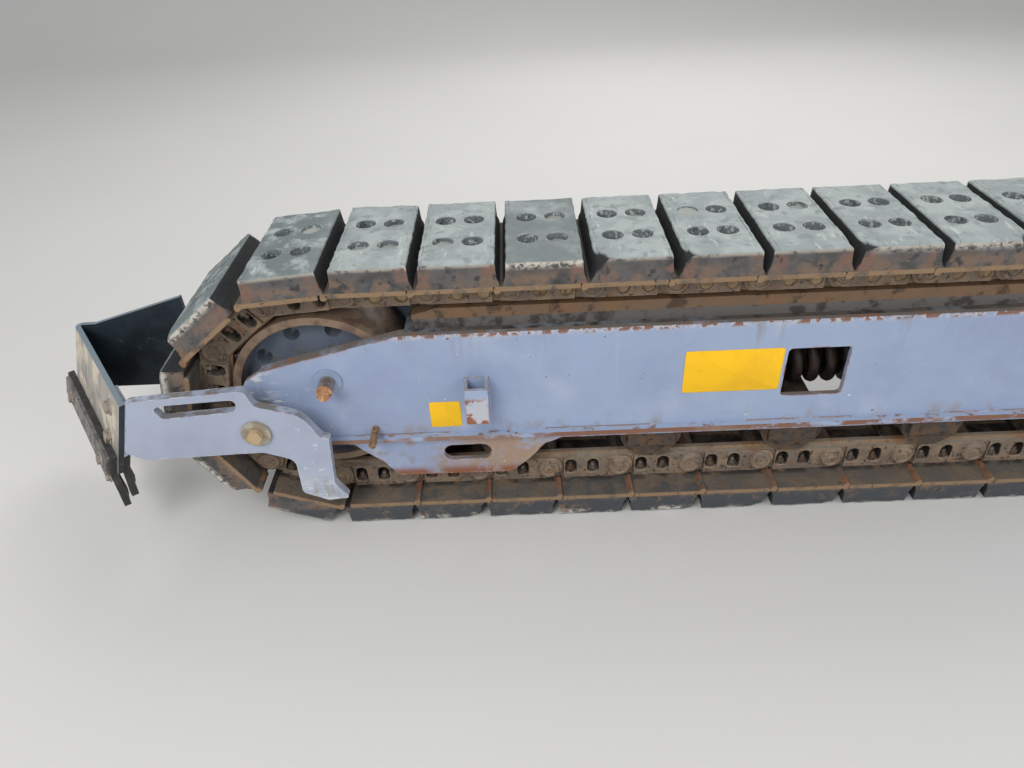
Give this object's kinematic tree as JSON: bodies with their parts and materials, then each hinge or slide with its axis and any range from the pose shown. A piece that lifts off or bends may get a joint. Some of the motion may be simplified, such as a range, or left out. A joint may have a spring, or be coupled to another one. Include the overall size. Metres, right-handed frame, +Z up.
{
  "type": "crawler track unit of an asphalt paver, left-hand, with track deflector",
  "caption": "Left crawler unit of a paver: padded shoes on a link chain round idler and sprocket, side frame with rollers, and a deflector that swings up ahead of the shoes.",
  "frame": {"origin": "on the ground, half way between the idler's and the sprocket's axes, on the middle line of the track shoes", "axes": "+X to the rear of the machine, +Y to its middle, +Z up; the picture looks along +Y, at the unit's outer side"},
  "size_m": [3.5782, 0.4483, 0.6953],
  "materials": {
    "track_pads": "worn and dusty",
    "chain_steel": "rusty, dirty",
    "worn_steel": "worn, rust in the corners",
    "frame_paint": "satin paint, chipped edges",
    "idler_paint": "satin paint, worn tread",
    "drive_paint": "satin paint",
    "deflector_paint": "satin paint, scratched",
    "blade_rubber": "matte",
    "clamp_steel": "worn bare",
    "zinc_steel": "yellow zinc, weathered",
    "brass_fitting": "weathered"
  },
  "bodies": {
    "track_unit": {"track_shoes": "track_pads", "track_links_outer": "chain_steel", "track_links_inner": "chain_steel", "track_bushings": "chain_steel", "frame_plate_outer": "frame_paint", "frame_plate_inner": "frame_paint", "frame_top_plate": "frame_paint", "nose_caps": "frame_paint", "ledge_strips": "frame_paint", "slide_rails": "worn_steel", "cross_plates": "frame_paint", "track_rollers": "worn_steel", "roller_saddles": "frame_paint", "idler_wheel": "idler_paint", "idler_yoke": "frame_paint", "tension_cylinder": "worn_steel", "recoil_spring": "worn_steel", "sprocket": "chain_steel", "drive_gearbox": "drive_paint", "drive_cover": "drive_paint", "drive_motor": "drive_paint", "mount_brackets": "frame_paint", "pivot_bosses": "frame_paint", "pivot_and_stop_bolts": "zinc_steel", "square_socket": "frame_paint", "grease_stud": "brass_fitting"},
    "deflector": {"deflector_arm_outer": "deflector_paint", "deflector_arm_inner": "deflector_paint", "mouldboard": "deflector_paint", "blade_front": "blade_rubber", "blade_rear": "blade_rubber", "clamp_bar": "clamp_steel", "deflector_bolts": "zinc_steel"}
  },
  "joints": [
    {"name": "deflector_pivot", "type": "hinge", "parent": "track_unit", "child": "deflector", "pos_m": [-1.37001, 0, 0.33], "axis": [0, 1, 0], "range_deg": [-9, 40]}
  ]
}
